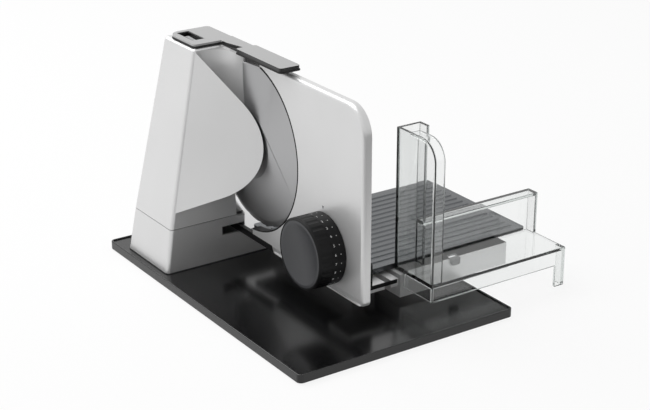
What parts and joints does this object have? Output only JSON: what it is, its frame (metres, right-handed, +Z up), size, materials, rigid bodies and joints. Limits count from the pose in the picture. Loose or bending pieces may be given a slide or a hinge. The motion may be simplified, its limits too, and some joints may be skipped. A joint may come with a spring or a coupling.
{
  "type": "food slicer",
  "caption": "Electric food slicer: leaning motor tower with a dished round blade, a stop plate set by a dial knob, and a clear carriage that slides a ribbed steel floor past the blade.",
  "frame": {"origin": "under the middle of the whole slicer, at the level the feet stand on", "axes": "+X from the motor tower across the blade to the carriage, +Y from the user to the back along the carriage's travel, +Z up"},
  "size_m": [0.331, 0.36, 0.2355],
  "materials": {
    "tray_black": "smooth black, glossy",
    "rubber_black": "matt black rubber",
    "sheet_steel": "zinc-plated sheet",
    "housing_silver": "satin silver",
    "bright_steel": "polished steel",
    "cover_grey": "satin light grey",
    "rocker_grey": "matt light grey",
    "black_plastic": "matt black",
    "cap_grey": "matt dark grey",
    "motor_can": "dark paint",
    "brass": "turned brass",
    "gear_nylon": "natural nylon",
    "blade_steel": "brushed stainless steel",
    "clear_plastic": "clear moulded plastic"
  },
  "bodies": {
    "base": {"tray": "tray_black", "tray_feet": "rubber_black", "base_plate": "sheet_steel", "base_housing": "housing_silver", "base_screws": "bright_steel", "base_seal": "rubber_black", "motor_housing": "housing_silver", "top_gasket": "rubber_black", "top_cover": "cover_grey", "switch_cup": "black_plastic", "cord_inlet": "black_plastic", "motor": "motor_can", "gear_cage": "sheet_steel", "idler_pin": "bright_steel", "blade_bush": "brass", "rear_guide_rod": "bright_steel", "nut_block": "black_plastic", "screw_nut": "brass", "carriage_bed": "housing_silver", "bed_end_cap": "black_plastic"},
    "rocker": {"switch_rocker": "rocker_grey"},
    "rotor": {"motor_pinion": "brass"},
    "idler": {"idler_gear": "gear_nylon"},
    "blade": {"blade": "blade_steel", "blade_shaft": "bright_steel", "blade_gear": "gear_nylon"},
    "lock": {"blade_lock": "black_plastic"},
    "stop": {"stop_plate": "housing_silver", "stop_back": "housing_silver", "stop_edge_trim": "black_plastic", "stop_carrier": "black_plastic"},
    "knob": {"knob_grip": "black_plastic", "knob_cap": "cap_grey", "knob_shaft": "bright_steel", "knob_gear": "gear_nylon"},
    "screw": {"adjusting_screw": "bright_steel"},
    "carriage": {"carriage_runner": "gear_nylon", "carriage_floor": "blade_steel", "carriage_body": "housing_silver", "carriage_shield": "clear_plastic"},
    "latch": {"carriage_latch": "cap_grey"}
  },
  "joints": [
    {"name": "carriage_slide", "type": "slide", "parent": "base", "child": "carriage", "axis": [0, 1, 0], "range_m": [0, 0.165]},
    {"name": "latch_push", "type": "slide", "parent": "carriage", "child": "latch", "axis": [0, 1, 0], "range_m": [0, 0.002], "stiffness_N_per_m": 400},
    {"name": "stop_slide", "type": "slide", "parent": "base", "child": "stop", "axis": [1, 0, 0], "range_m": [-0.017, 0.0025]},
    {"name": "knob_turn", "type": "hinge", "parent": "stop", "child": "knob", "pos_m": [-0.09, -0.087, 0.076], "axis": [1, 0, 0], "range_deg": [-250, 37]},
    {"name": "screw_turn", "type": "hinge", "parent": "stop", "child": "screw", "pos_m": [-0.055, -0.10061, 0.0487], "axis": [1, 0, 0], "range_deg": [-113, 766]},
    {"name": "blade_spin", "type": "hinge", "parent": "base", "child": "blade", "pos_m": [-0.0745, 0.0466, 0.137], "axis": [1, 0, 0], "continuous": true},
    {"name": "idler_spin", "type": "hinge", "parent": "base", "child": "idler", "pos_m": [-0.0865, 0.0663, 0.14047], "axis": [1, 0, 0], "continuous": true},
    {"name": "rotor_spin", "type": "hinge", "parent": "base", "child": "rotor", "pos_m": [-0.0915, 0.09261, 0.1309], "axis": [1, 0, 0], "continuous": true},
    {"name": "lock_turn", "type": "hinge", "parent": "blade", "child": "lock", "pos_m": [-0.0715, 0.0466, 0.137], "axis": [1, 0, 0], "range_deg": [0, 90]},
    {"name": "rocker_tip", "type": "hinge", "parent": "base", "child": "rocker", "pos_m": [-0.0985, 0.1145, 0.2253], "axis": [-1, 0, 0], "range_deg": [0, 12]}
  ],
  "couplings": [
    {"joint": "knob_turn", "follows": "stop_slide", "rad_per_m": 256.11},
    {"joint": "screw_turn", "follows": "stop_slide", "rad_per_m": -785.4},
    {"joint": "idler_spin", "follows": "blade_spin", "ratio": -2.3333},
    {"joint": "rotor_spin", "follows": "blade_spin", "ratio": 8.5556}
  ]
}
